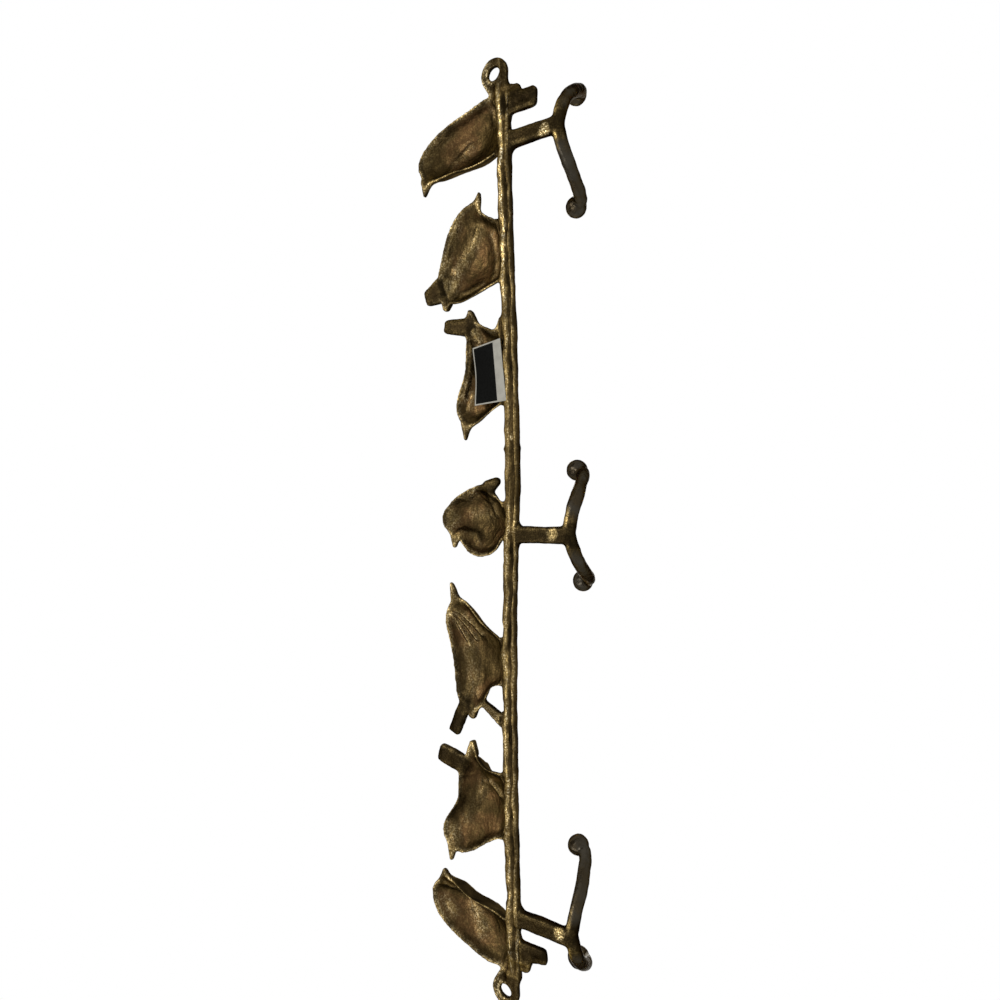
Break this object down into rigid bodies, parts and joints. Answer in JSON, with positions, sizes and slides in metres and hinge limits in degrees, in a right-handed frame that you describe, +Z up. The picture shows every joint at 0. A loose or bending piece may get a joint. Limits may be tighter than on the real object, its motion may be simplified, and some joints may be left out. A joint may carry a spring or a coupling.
{
  "type": "key hook",
  "caption": "Cast brass key rail with hollow-backed birds perched on a branch, double hooks with ball tips and a screw eyelet at each end.",
  "frame": {"origin": "midway between the two screw holes, on the wall plane", "axes": "+X along the rail, +Z up, -Y to the front, the flat back on Y = 0"},
  "size_m": [0.3412, 0.0289, 0.0673],
  "materials": {
    "brass": "aged",
    "label_paper": "matte"
  },
  "bodies": {
    "root": {"casting": "brass", "back_label": "label_paper"}
  },
  "joints": []
}
